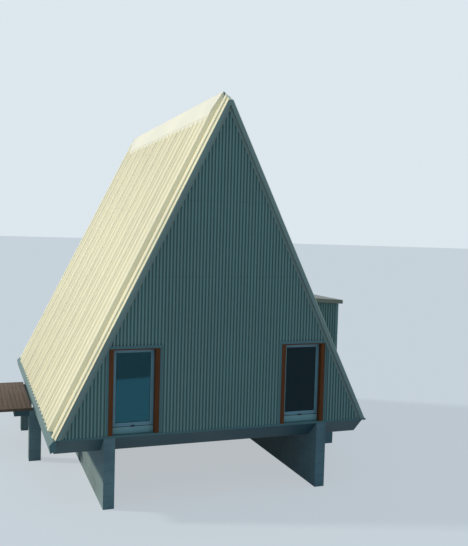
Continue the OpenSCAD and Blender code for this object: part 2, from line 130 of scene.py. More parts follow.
class CabinSheets(bpy.types.PropertyGroup):
    """Sizes of the folded steel sheets."""
    wall_pitch: length("Wall rib pitch", "Distance between two ribs of the wall sheets", 0.081, 0.3)
    wall_depth: length("Wall rib depth", "Height of the wall sheets' ribs", 0.024, 0.03)
    wall_crest: length("Wall rib crest", "Width of a wall rib's flat crest", 0.038, 0.1)
    wall_side: length("Wall rib side", "Width of a wall rib's sloping side", 0.009, 0.05)
    roof_pitch: length("Roof rib pitch", "Distance between two ribs of the roof sheets", 0.402, 0.6)
    sheet_ribs: bpy.props.IntProperty(name="Ribs a sheet", default=3, min=1, max=6,
                                      description="Ribs on one roof sheet, the last one lapped")
    roof_foot: length("Roof rib foot", "Width of a roof rib at its foot", 0.132, 0.2)
    roof_crest: length("Roof rib crest", "Width of a roof rib's crest", 0.034, 0.06)
    side_lap: length("Side lap", "Width of a roof sheet's edge over the next sheet's pan", 0.014, 0.03)
    lap_t: length("Lap thickness", "Height of that edge above the pan", 0.004, 0.006)
    swage_w: length("Swage width", "Width of a stiffener in the roof sheets' pans", 0.050, 0.08)
    swage_h: length("Swage height", "Height of a stiffener in the roof sheets' pans", 0.0025, 0.01)
    steel_t: length("Steel thickness", "Thickness of the folded steel", 0.0015, 0.004)
    lap_low: length("Lower lap", "Height of the lowest lap of the gable sheets above their foot", 3.650, 8.0)
    lap_mid: length("Middle lap", "Height of the middle lap of the gable sheets above their foot", 5.446, 8.0)
    lap_top: length("Upper lap", "Height of the upper lap of the gable sheets above their foot", 7.190, 8.0)
    verge_length: length("Verge sheet length", "Length of one verge sheet between its laps", 3.000, 6.0)
    screw_rows: length("Screw row spacing", "Distance between two rows of roof screws", 1.200, 3.0)


class CabinWindows(bpy.types.PropertyGroup):
    """Sizes of the window units."""
    post_w: length("Post width", "Width of the lining's posts", 0.104, 0.2)
    head_board: length("Head board", "Thickness of the lining's head board", 0.030, 0.1)
    proud: length("Lining proud", "How far the lining stands out from the cladding", 0.008, 0.05)
    reveal: length("Reveal", "Set-back of the window frame behind the cladding", 0.132, 0.2)
    wall_back: length("Wall back", "Depth of the wall's inner face behind the cladding", 0.190, 0.3)
    sill_h: length("Sill height", "Height of the sill panel under the frame", 0.170, 0.4)
    frame_w: length("Frame width", "Width of the window frame's outer members", 0.038, 0.1)
    sash_w: length("Sash width", "Width of the sash members", 0.042, 0.1)
    strip_w: length("Corner strip", "Width of the steel strips beside the lining", 0.060, 0.1)


class CabinColours(bpy.types.PropertyGroup):
    """Colours of the finishes."""
    roof: colour("Roof steel", "Coated steel of the roof and verge sheets and their screws", "#efe4c1")
    cap: colour("Cap steel", "Coated steel of the ridge cap and the closers under it", "#f1ead6")
    # Painted shade and light: darkened for the porch roof edges' shade, warmed for light thrown off the
    # sunlit roof
    trim: colour("Trim steel", "Coated steel of the porch roof and its edges", "#9a907a")
    # Painted shade: the verge faces and saddles are the roof's cream steel, drawn grey-green for their shade
    face: colour("Face steel", "Coated steel of the verge faces and ridge saddles", "#929b90")
    panel: colour("Panel steel", "Coated steel of the sill panels", "#96b4b1")
    # Painted shade: these flashings, strips and eaves are drawn in this dark teal for the shade they lie in
    flashing: colour("Flashing steel", "Coated steel of the head flashings, drip and window strips and eaves",
                     "#5d7877")
    # Painted shade: the wall sheets are the roof's cream steel, drawn darker and bluer for the gables' shade
    wall: colour("Wall steel", "Coated steel of the gable and porch sheets", "#819a91")
    screw: colour("Wall screws", "Painted screw heads on the gable sheets", "#5b6664")
    # Painted shade: the skirts and deck beams face down into shade and are drawn this dark
    skirt: colour("Skirt steel", "Coated steel of the skirts and deck beams", "#37555b")
    frame: colour("Window frame", "Coating of the aluminium window frames", "#7c9ea5")
    glass: colour("Glazing", "Tint of the double glazing, looked through", "#2c5556")
    # The lap seals, the seals under the frames and the fillers also paint shade with this near-black
    rubber: colour("Rubber", "Gaskets, seals and fillers", "#15181a")
    timber: colour("Lining timber", "Oiled timber of the window linings", "#733c17")
    # Partly painted shade: the concrete's grey is cooled towards the blue of the shade it stands in
    concrete: colour("Concrete", "Cast concrete of the walls and piers", "#7b8e8f")
    spruce: colour("Spruce", "Bare boards of the walls and roof panels", "#c9a57a")
    deck: colour("Deck timber", "Weathered boards of the deck and the floors", "#5d4a3c")


# Selecting, naming and shaping

def clear_selection():
    """Deselects everything, in object mode."""
    if bpy.context.object and bpy.context.object.mode != "OBJECT":
        bpy.ops.object.mode_set(mode="OBJECT")
    bpy.ops.object.select_all(action="DESELECT")


def activate(*pieces):
    """Selects these pieces alone, the first one active."""
    clear_selection()
    for piece in pieces:
        piece.select_set(True)
    bpy.context.view_layer.objects.active = pieces[0]


@contextmanager
def editing(piece, kind="FACE"):
    """Edit mode on one piece, selecting vertices, edges or faces."""
    activate(piece)
    bpy.ops.object.mode_set(mode="EDIT")
    bpy.ops.mesh.select_mode(type=kind)
    yield
    bpy.ops.object.mode_set(mode="OBJECT")


def pick_all():
    """Selects the whole of the piece being edited."""
    bpy.ops.mesh.select_all(action="SELECT")


def pick(piece, kind, wanted):
    """Selects the vertices, edges or faces whose middle passes the test."""
    bpy.ops.mesh.select_mode(type=kind)
    bpy.ops.mesh.select_all(action="DESELECT")
    mesh = bmesh.from_edit_mesh(piece.data)
    parts = {"VERT": mesh.verts, "EDGE": mesh.edges, "FACE": mesh.faces}[kind]
    for part in parts:
        corners = [part] if kind == "VERT" else part.verts
        middle = sum((v.co for v in corners), Vector()) / len(corners)
        if wanted(middle):
            part.select_set(True)
    mesh.select_flush_mode()
    bmesh.update_edit_mesh(piece.data)


def renamed(piece, name):
    """Gives a piece and its mesh one name."""
    piece.name = piece.data.name = name
    return piece


def named(name, size=(1, 1, 1), place=(0, 0, 0)):
    """Names the new primitive and puts its size and place in its mesh."""
    piece = renamed(bpy.context.object, name)
    piece.scale = size
    piece.location = place
    bpy.ops.object.transform_apply(location=True, rotation=True, scale=True)
    return piece


def block(name, corner, opposite):
    """A box between two opposite corners, to be shaped further."""
    clear_selection()
    bpy.ops.mesh.primitive_cube_add(size=1)
    low = Vector([min(pair) for pair in zip(corner, opposite)])
    high = Vector([max(pair) for pair in zip(corner, opposite)])
    return named(name, high - low, (low + high) / 2)


def modified(piece, kind, **settings):
    """Adds a modifier with its settings and applies it."""
    activate(piece)
    modifier = piece.modifiers.new(kind.title(), kind)
    for key, value in settings.items():
        setattr(modifier, key, value)
    bpy.ops.object.modifier_apply(modifier=modifier.name)
    return piece


def rounded(piece, width, segments=2):
    """Bevels the sharp edges and smooths across them."""
    modified(piece, "BEVEL", width=width, segments=segments, limit_method="ANGLE",
             angle_limit=math.radians(35))
    activate(piece)
    bpy.ops.object.shade_smooth_by_angle(angle=math.radians(30))
    return piece


def repeated(piece, count, step):
    """Repeats a piece by a fixed step, its touching copies merged."""
    return modified(piece, "ARRAY", count=count, use_relative_offset=False, use_constant_offset=True,
                    constant_offset_displace=step, use_merge_vertices=True, merge_threshold=TINY)


def thickened(sheet, thickness):
    """Gives a folded sheet its thickness, inwards from its face."""
    return modified(sheet, "SOLIDIFY", thickness=thickness, offset=-1)


def joined(name, pieces):
    """Joins pieces into one with a new name."""
    activate(*pieces)
    if len(pieces) > 1:
        bpy.ops.object.join()
    return renamed(bpy.context.object, name)


def copied(piece, name):
    """A copy with its own mesh."""
    twin = piece.copy()
    twin.data = piece.data.copy()
    bpy.context.scene.collection.objects.link(twin)
    return renamed(twin, name)


def stood(piece, origin, across, up):
    """Moves a piece from its flat axes to a face: X to across, Y to up and Z out of the face."""
    across, up = Vector(across), Vector(up)
    turn = Matrix((across, up, across.cross(up))).transposed().to_4x4()
    activate(piece)
    piece.matrix_world = Matrix.Translation(origin) @ turn
    bpy.ops.object.transform_apply(location=True, rotation=True, scale=True)
    return piece


def shifted(piece, step):
    """Moves a piece without turning it."""
    return stood(piece, step, ACROSS, ALONG)


def plane(axis, place, side):
    """The plane square to one axis, as a cut that clears its higher (1) or lower (-1) side."""
    point = Vector()
    point["XYZ".index(axis)] = place
    normal = Vector()
    normal["XYZ".index(axis)] = side
    return point, normal


def trimmed(piece, planes, fill=False):
    """Cuts away what lies beyond each plane, a point and the normal that points outwards."""
    with editing(piece):
        for point, normal in planes:
            pick_all()
            bpy.ops.mesh.bisect(plane_co=point, plane_no=normal, clear_outer=True, use_fill=fill)
        if fill:
            pick_all()
            bpy.ops.mesh.normals_make_consistent(inside=False)
    return piece


def opened(piece, planes):
    """Cuts along each plane and deletes the faces on the inner side of them all."""
    with editing(piece):
        for point, normal in planes:
            pick_all()
            bpy.ops.mesh.bisect(plane_co=point, plane_no=normal)
        pick(piece, "FACE", lambda m: all((m - Vector(p)).dot(Vector(n)) < 0 for p, n in planes))
        bpy.ops.mesh.delete(type="FACE")
    return piece


def finished(piece, look, replaces=()):
    """Gives a piece its finish, its body and the nodes that it stands for."""
    piece.data.materials.clear()
    piece.data.materials.append(finish(look))
    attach(piece, "root")
    if replaces:
        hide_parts(*replaces)
    return piece


def coated(look, *nodes):
    """Gives CAD nodes a finish."""
    for node in nodes:
        piece = frame["nodes"][node]
        if not piece.material_slots:
            piece.data.materials.append(None)
        for place in piece.material_slots:
            place.material = finish(look)


# The cabin's faces and cuts

def half_width(n, z=FOOT_Z):
    """Half the width, at height z, of the roof plane that lies n above the verge line."""
    return (APEX_Z + n / math.cos(PITCH) - z) / math.tan(PITCH)


def under_slope(n, side):
    """The plane of one slope, n above the verge line, as a cut that keeps what lies under it."""
    return (side * half_width(n), 0, FOOT_Z), (side * math.sin(PITCH), 0, math.cos(PITCH))


def gable_cuts():
    """Cuts that leave the triangle of a gable's cladding."""
    return [under_slope(CLADDING_EDGE, -1), under_slope(CLADDING_EDGE, 1), plane("Z", FOOT_Z, -1)]


def slope_cuts(side):
    """Cuts at the ridge and the foot of one slope."""
    return [plane("X", 0, -side), plane("Z", FOOT_Z, -1)]


def window_cuts(x, reach):
    """Cuts round a window's place on a sheet that lies flat: beside it and at its head."""
    return [plane("X", x - reach, -1), plane("X", x + reach, 1), plane("Y", WINDOW_H, 1)]


def ridge_cut(end):
    """The plane from the ridge cap's tip down to the chopped peak of one gable's verges."""
    run = HALF_LEN - cap_high.y
    drop = cap_high.z - (APEX_Z - PEAK_CUT)
    return (0, end * cap_high.y, cap_high.z), (0, end * drop, run)


def under_porch_roof(x, z):
    """The porch roof's slope through a point, as a cut that keeps what lies under it."""
    return (x, 0, z), (math.sin(PORCH_FALL), 0, math.cos(PORCH_FALL))


def on_gable(piece, end, x=0.0):
    """Stands a piece on the front gable (end -1) or the rear one (end 1)."""
    return stood(piece, (x, end * GABLE_FACE, FOOT_Z), (-end, 0, 0), UP)


def on_slope(piece, side):
    """Lays a piece on the left slope (side -1) or the right one (side 1), Z above the verge line."""
    up = (-side * math.cos(PITCH), 0, math.sin(PITCH))
    return stood(piece, (side * half_width(0), 0, FOOT_Z), (0, side, 0), up)


def on_porch_side(piece, end, x):
    """Stands a piece on the porch's front wall (end -1) or rear wall (end 1)."""
    return stood(piece, (x, end * porch_high.y, FOOT_Z), (-end, 0, 0), UP)


def on_porch_front(piece):
    """Stands a piece on the porch's outer wall."""
    return stood(piece, (porch_high.x, 0, FOOT_Z), ALONG, UP)


# Finishes

def feed(tree, node, inputs):
    """Sets a node's inputs, each to a value or by a link."""
    for socket, value in inputs.items():
        if isinstance(value, bpy.types.NodeSocket):
            tree.links.new(value, node.inputs[socket])
        else:
            node.inputs[socket].default_value = value


def add_node(tree, kind, inputs=None, **settings):
    """Adds a node with its settings, each input a value or a link."""
    node = tree.nodes.new("ShaderNode" + kind)
    for key, value in settings.items():
        setattr(node, key, value)
    feed(tree, node, inputs or {})
    return node


def new_finish(name):
    """An empty material with its tree, shader and object coordinates."""
    material = bpy.data.materials.new(name)
    material.use_nodes = True
    tree = material.node_tree
    shader = tree.nodes["Principled BSDF"]
    place = add_node(tree, "TexCoord").outputs["Object"]
    return material, tree, shader, place


def grain(tree, place, size, detail=3.0, roughness=0.55):
    """A noise whose grains have a real size in millimetres, one for all axes or one each for X, Y and Z."""
    sizes = size if isinstance(size, tuple) else (size, size, size)
    mapping = add_node(tree, "Mapping", {"Vector": place, "Scale": [1000 / s for s in sizes]})
    noise = add_node(tree, "TexNoise", {"Vector": mapping.outputs[0], "Scale": 1.0,
                                        "Detail": detail, "Roughness": roughness})
    return noise.outputs["Fac"]


def toned(tree, pattern, reach, first, second, share=1.0):
    """A colour that goes from the first to a share of the second, as a pattern crosses its reach."""
    factor = add_node(tree, "MapRange", {"Value": pattern, "From Min": reach[0],
                                         "From Max": reach[1], "To Max": share})
    mix = add_node(tree, "Mix", {0: factor.outputs[0], 6: first, 7: second}, data_type="RGBA")
    return mix.outputs[2]


def rgba(three, times=1.0):
    """A colour with its alpha, made lighter or darker."""
    return [min(1.0, c * times) for c in three] + [1.0]


def coil_coated_steel(name, base, streaks, pan_shade=0.0, roughness=0.42, streaked=0.30, wavy=0.0012):
    """Coil-coated sheet steel, roll-formed: a satin paint film, slightly wavy between the folds,
    with faint rain streaks down its length and, where asked, painted shade that darkens its pans by their
    depth."""
    material, tree, shader, place = new_finish(name)
    weather = grain(tree, place, 2000, 4.0)
    tone = toned(tree, weather, (0.3, 0.7), rgba(base, 0.93), rgba(base, 1.04))
    tone = toned(tree, grain(tree, place, streaks, 2.0), (0.45, 0.75), tone, rgba(base, 0.80), streaked)
    # Painted shade: the pans darken with their depth below the crests
    if pan_shade:
        depth = add_node(tree, "Attribute", attribute_name="fold_depth").outputs["Fac"]
        tone = toned(tree, depth, (0.35, 1.0), tone, rgba(base, 0.22), pan_shade)
    dull = add_node(tree, "MapRange", {"Value": weather, "From Min": 0.3, "From Max": 0.7,
                                       "To Min": roughness - 0.06, "To Max": roughness + 0.08})
    waves = add_node(tree, "Bump", {"Height": grain(tree, place, 455, 1.0), "Distance": wavy})
    feed(tree, shader, {"Base Color": tone, "Roughness": dull.outputs[0], "Specular IOR Level": 0.3,
                        "Normal": waves.outputs[0]})
    return material


def cast_concrete(name, base):
    """Concrete cast against 150 mm boards: faint board joints, damp patches, and air holes and grit
    drawn coarser than real ones, so that they show."""
    material, tree, shader, place = new_finish(name)
    patches = grain(tree, place, 909, 5.0, 0.6)
    grit = grain(tree, place, 16.67, 4.0, 0.7)
    tone = toned(tree, patches, (0.32, 0.68), rgba(base, 0.72), rgba(base, 1.10))
    tone = toned(tree, grit, (0.35, 0.75), tone, rgba(base, 0.62), 0.35)
    cells = add_node(tree, "TexVoronoi", {"Vector": place, "Scale": 1000 / 45.45})
    hole = add_node(tree, "MapRange", {"Value": cells.outputs["Distance"],
                                       "From Min": 0.05, "From Max": 0.12}).outputs[0]
    tone = toned(tree, hole, (0.0, 1.0), rgba(base, 0.35), tone)
    height = add_node(tree, "SeparateXYZ", {0: place}).outputs["Z"]
    board = add_node(tree, "Math", {0: height, 1: 0.150}, operation="PINGPONG").outputs[0]
    joint = add_node(tree, "MapRange", {"Value": board, "From Min": 0.0, "From Max": 0.006}).outputs[0]
    tone = toned(tree, joint, (0.0, 1.0), rgba(base, 0.55), tone)
    relief = add_node(tree, "Bump", {"Height": joint, "Distance": 0.003}).outputs[0]
    for pattern, depth in ((hole, 0.004), (grit, 0.0015)):
        inputs = {"Height": pattern, "Distance": depth, "Normal": relief}
        relief = add_node(tree, "Bump", inputs).outputs[0]
    feed(tree, shader, {"Base Color": tone, "Roughness": 0.88, "Normal": relief})
    return material


def sawn_timber(name, base, fibre, roughness=0.6, contrast=1.0, gloss=0.5):
    """Planed timber: long darker grain lines along the board, drawn coarser than real ones so that they
    show, and slow changes of tone between boards."""
    material, tree, shader, place = new_finish(name)
    fine = grain(tree, place, fibre, 6.0, 0.65)
    slow = grain(tree, place, tuple(size / 0.12 for size in fibre), 2.0)
    dark, light = rgba(base, 1 - 0.22 * contrast), rgba(base, 1 + 0.18 * contrast)
    tone = toned(tree, slow, (0.3, 0.7), dark, light)
    tone = toned(tree, fine, (0.48, 0.72), tone, rgba(base, 0.42), 0.75 * contrast)
    dull = add_node(tree, "MapRange", {"Value": fine, "From Min": 0.3, "From Max": 0.8,
                                       "To Min": roughness - 0.08, "To Max": roughness + 0.12})
    lines = add_node(tree, "Bump", {"Height": fine, "Distance": 0.0008})
    feed(tree, shader, {"Base Color": tone, "Roughness": dull.outputs[0], "Specular IOR Level": gloss,
                        "Normal": lines.outputs[0]})
    return material


def powder_coated_aluminium(name, base):
    """Powder-coated aluminium: an even satin film with the faintest change of tone."""
    material, tree, shader, place = new_finish(name)
    tone = toned(tree, grain(tree, place, 333), (0.3, 0.7), rgba(base, 0.93), rgba(base, 1.05))
    powder = add_node(tree, "Bump", {"Height": grain(tree, place, 1.11, 1.0), "Distance": 0.00005})
    feed(tree, shader, {"Base Color": tone, "Roughness": 0.35, "Normal": powder.outputs[0]})
    return material


def float_glass(name, base):
    """Double glazing: float glass, teal to look through, with a painted reflection: a blue, slightly
    mirroring patch over the left panes' lower part, up to a soft edge that rises slightly to the right, and a
    bluish specular tint."""
    material, tree, shader, place = new_finish(name)
    axes = add_node(tree, "SeparateXYZ", {0: place}).outputs
    # Painted reflection: a mask over the left panes' lower part, below a soft edge that leans up to the right
    lean = add_node(tree, "Math", {0: axes["X"], 1: -0.04, 2: axes["Z"]}, operation="MULTIPLY_ADD")
    low = add_node(tree, "MapRange", {"Value": lean.outputs[0], "From Min": FOOT_Z + 1.33,
                                      "From Max": FOOT_Z + 1.39, "To Min": 1.0, "To Max": 0.6})
    left = add_node(tree, "MapRange", {"Value": axes["X"], "From Min": -0.1, "From Max": 0.1,
                                       "To Min": 1.0, "To Max": 0.0})
    painted_reflection = add_node(tree, "Math", {0: low.outputs[0], 1: left.outputs[0]},
                    operation="MULTIPLY").outputs[0]
    tint_and_reflection = toned(tree, painted_reflection, (0.0, 1.0), rgba(base), rgba(linear("#76d4e8")))
    mirror = add_node(tree, "Math", {0: painted_reflection, 1: 0.07}, operation="MULTIPLY")
    waves = add_node(tree, "Bump", {"Height": grain(tree, place, 625, 1.0), "Distance": 0.0006})
    # Painted reflection: the patch makes the glass blue and slightly metallic, and the specular tint cools
    # and dims all reflections
    feed(tree, shader, {"Transmission Weight": 1.0, "Roughness": 0.0, "IOR": 1.52,
                        "Specular Tint": rgba(linear("#86b2c4")), "Base Color": tint_and_reflection,
                        "Metallic": mirror.outputs[0], "Normal": waves.outputs[0]})
    return material


def black_rubber(name, base):
    """Extruded gasket rubber: almost black and dull, with a little pale dust."""
    material, tree, shader, place = new_finish(name)
    tone = toned(tree, grain(tree, place, 33.33), (0.0, 1.0), rgba(base), rgba(linear("#2b2f31")))
    feed(tree, shader, {"Base Color": tone, "Roughness": 0.7})
    return material


# Sizes of rain streaks along X, Y and Z in millimetres: down the roof slopes, and down flashings and trims
ROOF_STREAKS = (4000, 400, 4000)
TRIM_STREAKS = (333, 333, 2500)

# Each look: how it is made, its material's name, its colour, and its other settings
LOOKS = {
    "roof": (coil_coated_steel, "coil_coated_roof_steel", "roof",
             {"streaks": ROOF_STREAKS, "streaked": 0.15, "wavy": 0.0003}),
    "cap": (coil_coated_steel, "coil_coated_cap_steel", "cap", {"streaks": ROOF_STREAKS, "streaked": 0.1}),
    "trim": (coil_coated_steel, "coil_coated_trim_steel", "trim", {"streaks": TRIM_STREAKS}),
    "face": (coil_coated_steel, "coil_coated_face_steel", "face", {"streaks": TRIM_STREAKS}),
    "panel": (coil_coated_steel, "coil_coated_panel_steel", "panel", {"streaks": TRIM_STREAKS}),
    "flashing": (coil_coated_steel, "coil_coated_flashing_steel", "flashing", {"streaks": TRIM_STREAKS}),
    # The wall sheets' pans get painted shade
    "wall": (coil_coated_steel, "coil_coated_wall_steel", "wall",
             {"streaks": (111, 111, 2857), "pan_shade": 0.6}),
    "skirt": (coil_coated_steel, "coil_coated_skirt_steel", "skirt",
              {"streaks": (200, 200, 1250), "roughness": 0.5}),
    "screw": (coil_coated_steel, "painted_screw_heads", "screw", {"streaks": (25, 25, 25)}),
    "frame": (powder_coated_aluminium, "powder_coated_frame", "frame", {}),
    "glass": (float_glass, "double_glazing", "glass", {}),
    "rubber": (black_rubber, "gasket_rubber", "rubber", {}),
    "post": (sawn_timber, "oiled_lining_posts", "timber", {"fibre": (14.3, 14.3, 455), "gloss": 0.2}),
    "head": (sawn_timber, "oiled_lining_heads", "timber", {"fibre": (455, 14.3, 14.3), "gloss": 0.2}),
    "porch_head": (sawn_timber, "oiled_porch_head", "timber", {"fibre": (14.3, 455, 14.3), "gloss": 0.2}),
    "concrete": (cast_concrete, "board_cast_concrete", "concrete", {}),
    "lining": (sawn_timber, "spruce_boards", "spruce",
               {"fibre": (40, 500, 40), "roughness": 0.65, "contrast": 0.6}),
    "platform": (sawn_timber, "platform_boards", "deck",
                 {"fibre": (500, 33.3, 33.3), "roughness": 0.75, "contrast": 0.8}),
    "deck": (sawn_timber, "weathered_deck_boards", "deck", {"fibre": (22.2, 500, 22.2), "roughness": 0.75}),
}

mixed = {}


def finish(look):
    """The material of a look, mixed once for each colour that it is given."""
    make, name, key, settings = LOOKS[look]
    base = tuple(getattr(bpy.context.scene.cabin_colours, key))
    if (look, base) not in mixed:
        mixed[look, base] = make(name, base, **settings)
    return mixed[look, base]


# Folded sheets and their screws

# Radius and thickness of a screw's washer and of its hexagon head
WASHER_R = 0.010
WASHER_T = 0.002
SCREW_HEAD_R = 0.0062
SCREW_HEAD_T = 0.005
# Length of a folded bar beyond its ends before they are capped
CAP_SPARE = 0.01


def folded_strip(name, points, low, high):
    """A sheet folded edge by edge along a profile of points (X, Z), from low to high along Y."""
    (x0, z0), (x1, z1) = points[:2]
    clear_selection()
    bpy.ops.mesh.primitive_plane_add(size=1)
    strip = named(name, (1, high - low, 1), (x0 + 1 / 2, (low + high) / 2, z0))
    with editing(strip, "EDGE"):
        pick(strip, "EDGE", lambda m: m.x > x0 + 1 - TINY)
        bpy.ops.transform.translate(value=(x1 - x0 - 1, 0, z1 - z0))
        for (xa, za), (xb, zb) in zip(points[1:], points[2:]):
            bpy.ops.mesh.extrude_region_move(TRANSFORM_OT_translate={"value": (xb - xa, 0, zb - za)})
    return strip


def folded_bar(name, points, low, high):
    """A closed profile drawn out along Y, its seam merged and its ends capped."""
    bar = folded_strip(name, points + points[:1], low - CAP_SPARE, high + CAP_SPARE)
    with editing(bar):
        pick_all()
        bpy.ops.mesh.remove_doubles(threshold=TINY)
        bpy.ops.mesh.normals_make_consistent(inside=False)
    return trimmed(bar, [plane("Y", low, -1), plane("Y", high, 1)], fill=True)


def ribbed_sheet(name, folds, depth, count, low, high):
    """One bay of folds repeated across, its crests at Z 0 and its middle at X 0."""
    points = [(0, -depth)]
    for across, rise in folds:
        points.append((points[-1][0] + across, points[-1][1] + rise))
    bay = points[-1][0]
    sheet = repeated(folded_strip(name, points, low, high), count, (bay, 0, 0))
    with editing(sheet):
        pick_all()
        bpy.ops.transform.translate(value=(-bay * count / 2, 0, 0))
    # Depth below the crests, which a finish reads to paint shade into the pans
    depths = sheet.data.attributes.new("fold_depth", "FLOAT", "POINT")
    for vertex in sheet.data.vertices:
        depths.data[vertex.index].value = -vertex.co.z / depth
    return sheet


def wall_folds(sizes):
    """Folds of one wall rib, from the middle of a pan to the middle of the next."""
    pan = sizes.wall_pitch - sizes.wall_crest - 2 * sizes.wall_side
    return [(pan / 2, 0), (sizes.wall_side, sizes.wall_depth), (sizes.wall_crest, 0),
            (sizes.wall_side, -sizes.wall_depth), (pan / 2, 0)]


def roof_folds(sizes):
    """Folds of one roof sheet: its ribs, stiffened pans, and the edge that laps over the next sheet."""
    pan = sizes.roof_pitch - sizes.roof_foot
    flat = (pan - 2 * sizes.swage_w) / 3
    bend = sizes.swage_h * 4
    swage = [(bend, sizes.swage_h), (sizes.swage_w - 2 * bend, 0), (bend, -sizes.swage_h)]
    side = (sizes.roof_foot - sizes.roof_crest) / 2
    rise = RIB_TOP - PAN_RISE
    rib = [(side, rise), (sizes.roof_crest, 0), (side, -rise)]
    lapped = rib[:2] + [(side, sizes.lap_t - rise), (sizes.side_lap, 0), (0, -sizes.lap_t)]
    before = [(flat / 2, 0)] + swage + [(flat, 0)]
    after = swage + [(flat / 2, 0)]
    plain = before + rib + [(flat, 0)] + after
    return plain * (sizes.sheet_ribs - 1) + before + lapped + [(flat - sizes.side_lap, 0)] + after


def wall_sheet(name, sizes, count, low, high):
    """A ribbed wall sheet that lies flat."""
    return ribbed_sheet(name, wall_folds(sizes), sizes.wall_depth, count, low, high)


def screw_row(name, count, step, place):
    """A row of hexagon-headed screws on round washers, centred on a place on their sheet."""
    clear_selection()
    bpy.ops.mesh.primitive_cylinder_add(vertices=12, radius=WASHER_R, depth=WASHER_T)
    washer = named("washer", place=(0, 0, WASHER_T / 2))
    with editing(washer):
        pick(washer, "FACE", lambda m: m.z > WASHER_T - TINY)
        bpy.ops.mesh.inset(thickness=WASHER_R / 5)
    clear_selection()
    bpy.ops.mesh.primitive_cylinder_add(vertices=6, radius=SCREW_HEAD_R, depth=SCREW_HEAD_T)
    head = rounded(named("head", place=(0, 0, WASHER_T + SCREW_HEAD_T / 2)), 0.0008, 1)
    row = repeated(joined(name, [washer, head]), count, step)
    return shifted(row, Vector(place) - Vector(step) * (count - 1) / 2)


# Gable cladding: how far a course reaches down behind the one below and how far it stands behind it, and the
# foot and top of the dark rubber seal at that lap, which paints the lap's shadow line, and how far it stands
# out
COURSE_LAP = 0.05
COURSE_STEP = 0.0025
LAP_SHADOW_SEAL_REACH = (-0.014, 0.002)
LAP_SHADOW_SEAL_OUT = 0.001
# Heights of the screws above the foot and above a lap, and their clearance from the cladding's edge
FOOT_SCREWS = 0.07
LAP_SCREWS = 0.03
SCREW_CLEAR = 0.03
# Foot and top of the fillers in the pans above a window's head, and how far they stay behind the crests;
# their black rubber also paints the shade in the pans' open ends
FILLER_HEIGHTS = (0.070, 0.095)
FILLER_BACK = 0.001
# Drip strip under the gable sheets: height and distance out of two corners of its face and of its lip, and
# the thickness and distance out of the ledges under the window frames
DRIP_FACE = ((-0.046, 0.006), (-0.001, 0.010))
DRIP_LIP = ((-0.049, 0.006), (-0.044, 0.016))
LEDGE_T = 0.003
LEDGE_OUT = 0.010


def gable_course(sizes, windows, end, number):
    """One course of a gable: its sheet, its screw row and, above the first, a dark lap seal that paints the
    lap's shadow.
    """
    laps = [0.0, sizes.lap_low, sizes.lap_mid, sizes.lap_top, APEX_Z - FOOT_Z]
    foot, top = laps[number:number + 2]
    out = (len(laps) - 2 - number) * COURSE_STEP
    reach = WINDOW_W / 2 + windows.strip_w
    openings = [window_cuts(x, reach) for x in WINDOW_PLACES] if number == 0 else []
    count = 2 * math.ceil(half_width(CLADDING_EDGE, FOOT_Z + foot) / sizes.wall_pitch)
    sheet = wall_sheet("course", sizes, count, foot - COURSE_LAP, top)
    for cuts in openings:
        opened(sheet, cuts)
    trimmed(on_gable(sheet, end), gable_cuts())
    shifted(thickened(sheet, sizes.steel_t), (0, end * out, 0))
    height = foot + (LAP_SCREWS if number else FOOT_SCREWS)
    fit = half_width(CLADDING_EDGE - SCREW_CLEAR, FOOT_Z + height)
    screws = 2 * math.floor(fit / sizes.wall_pitch) + 1
    row = screw_row("screws", screws, (sizes.wall_pitch, 0, 0), (0, height, -sizes.wall_depth))
    for cuts in openings:
        opened(row, cuts)
    on_gable(row, end)
    if number == 0:
        return sheet, row, []
    # Painted shadow line: a dark rubber seal along the lap
    low, high = LAP_SHADOW_SEAL_REACH
    seal = wall_sheet("seal", sizes, count, foot + low, foot + high)
    trimmed(on_gable(seal, end), gable_cuts())
    return sheet, row, [shifted(seal, (0, end * (LAP_SHADOW_SEAL_OUT + out), 0))]


def pan_fillers(sizes, side, reach):
    """Rubber fillers in the pans above one side's window head flashing, lying flat; their black also paints
    the pans' shade.
    """
    crest = (sizes.wall_pitch - sizes.wall_crest) / 2
    foot = crest - sizes.wall_side
    low, high = FILLER_HEIGHTS
    filler = block("fillers", (-crest, WINDOW_H + low, -sizes.wall_depth),
                   (crest, WINDOW_H + high, -FILLER_BACK))
    with editing(filler):
        pick(filler, "FACE", lambda m: m.z < TINY - sizes.wall_depth)
        bpy.ops.transform.resize(value=(foot / crest, 1, 1), center_override=(0, 0, 0))
    first = math.ceil((WINDOW_X - reach) / sizes.wall_pitch)
    last = math.floor((WINDOW_X + reach) / sizes.wall_pitch)
    repeated(filler, last - first + 1, (side * sizes.wall_pitch, 0, 0))
    return shifted(filler, (side * first * sizes.wall_pitch, 0, 0))


def drip_bar(name, half, section):
    """A folded bar of the drip strip between two corners of its section, lying flat."""
    (foot, back), (top, front) = section
    return rounded(block(name, (-half, foot, back), (half, top, front)), 0.001, 1)


